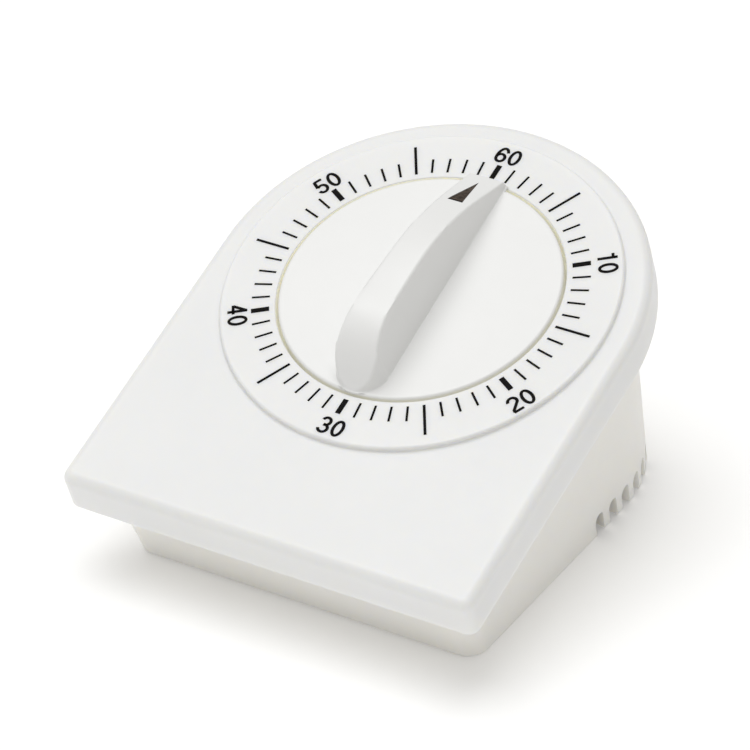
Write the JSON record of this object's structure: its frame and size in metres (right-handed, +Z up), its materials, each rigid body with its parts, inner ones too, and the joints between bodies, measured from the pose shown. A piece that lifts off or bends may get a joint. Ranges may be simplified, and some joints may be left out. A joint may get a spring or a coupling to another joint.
{
  "type": "mechanical kitchen timer",
  "caption": "Wedge-shaped mechanical kitchen timer with a sloping round-backed face plate, a bar-grip dial knob with a pointer, a bell and a clockwork movement inside.",
  "frame": {"origin": "centre of the underside that stands on the table, taken as the middle of the whole object seen from above", "axes": "+Z up from the table, -Y towards the user, where the face plate is lowest, +X to the user's right"},
  "size_m": [0.08, 0.104, 0.0573],
  "materials": {
    "white_face": "satin",
    "white_base": "satin",
    "white_knob": "satin",
    "dark_ink": "matt",
    "frame_steel": "brushed",
    "bell_steel": "polished",
    "screw_steel": "zinc plated",
    "arbor_steel": "turned",
    "spring_steel": "blued",
    "wheel_brass": "satin"
  },
  "bodies": {
    "housing": {"face_plate": "white_face", "base_shell": "white_base", "case_screws": "screw_steel", "movement_front_plate": "frame_steel", "movement_back_plate": "frame_steel", "movement_pillars": "frame_steel", "plate_screws": "screw_steel", "mount_screws": "screw_steel", "bell": "bell_steel", "bell_post": "frame_steel", "bell_screw": "screw_steel", "mainspring": "spring_steel", "mainspring_post": "frame_steel", "hairspring": "spring_steel", "hairspring_stud": "wheel_brass", "trip_stud": "arbor_steel", "trip_spring": "spring_steel", "hammer_spring": "spring_steel"},
    "dial_knob": {"knob": "white_knob", "pointer_mark": "dark_ink", "main_arbor": "arbor_steel", "arbor_clip": "spring_steel", "great_wheel": "wheel_brass", "ratchet_wheel": "frame_steel", "click_pawl": "frame_steel", "click_stud": "wheel_brass", "click_spring": "spring_steel", "trip_cam": "wheel_brass"},
    "second_train": {"second_arbor": "arbor_steel", "second_wheel": "wheel_brass", "strike_star": "frame_steel"},
    "third_train": {"third_arbor": "arbor_steel", "third_wheel": "wheel_brass"},
    "escape_train": {"escape_arbor": "arbor_steel", "escape_wheel": "wheel_brass"},
    "pallet": {"pallet_arbor": "arbor_steel", "pallet_lever": "wheel_brass", "pallet_pins": "arbor_steel"},
    "balance": {"balance_staff": "arbor_steel", "balance_wheel": "wheel_brass", "balance_roller": "wheel_brass", "hairspring_collet": "wheel_brass"},
    "hammer": {"hammer_arbor": "arbor_steel", "hammer_tail": "frame_steel", "hammer_arm": "frame_steel", "hammer_head": "arbor_steel"},
    "trip": {"trip_lever": "frame_steel"}
  },
  "joints": [
    {"name": "knob_turn", "type": "hinge", "parent": "housing", "child": "dial_knob", "pos_m": [0, 0.00039, 0.0434], "axis": [0, 0.3843, -0.9232], "range_deg": [0, 360], "stiffness_Nm_per_rad": 0.01},
    {"name": "second_turn", "type": "hinge", "parent": "housing", "child": "second_train", "pos_m": [-0.01247, 0.01434, 0.02863], "axis": [0, 0.3843, -0.9232], "range_deg": [-2520, 0]},
    {"name": "third_turn", "type": "hinge", "parent": "housing", "child": "third_train", "pos_m": [-0.00526, 0.02023, 0.03324], "axis": [0, 0.3843, -0.9232], "range_deg": [0, 18900]},
    {"name": "escape_turn", "type": "hinge", "parent": "housing", "child": "escape_train", "pos_m": [0.00416, 0.01909, 0.03385], "axis": [0, 0.3843, -0.9232], "range_deg": [-151200, 0]},
    {"name": "pallet_rock", "type": "hinge", "parent": "housing", "child": "pallet", "pos_m": [0.01143, 0.01634, 0.03162], "axis": [0, 0.3843, -0.9232], "range_deg": [-4, 4]},
    {"name": "balance_swing", "type": "hinge", "parent": "housing", "child": "balance", "pos_m": [0.01722, 0.01112, 0.0262], "axis": [0, 0.3843, -0.9232], "range_deg": [-180, 180], "stiffness_Nm_per_rad": 0.00001},
    {"name": "hammer_swing", "type": "hinge", "parent": "housing", "child": "hammer", "pos_m": [-0.018, -0.00208, 0.02071], "axis": [0, -0.3843, 0.9232], "range_deg": [0, 16], "stiffness_Nm_per_rad": 0.002, "springref_deg": -5.73},
    {"name": "trip_drop", "type": "hinge", "parent": "housing", "child": "trip", "pos_m": [-0.0022, -0.00643, 0.02648], "axis": [0, -0.3843, 0.9232], "range_deg": [0, 6], "stiffness_Nm_per_rad": 0.0005, "springref_deg": -5.73}
  ],
  "couplings": [
    {"joint": "second_turn", "follows": "knob_turn", "ratio": -7},
    {"joint": "third_turn", "follows": "knob_turn", "ratio": 52.5},
    {"joint": "escape_turn", "follows": "knob_turn", "ratio": -420}
  ]
}
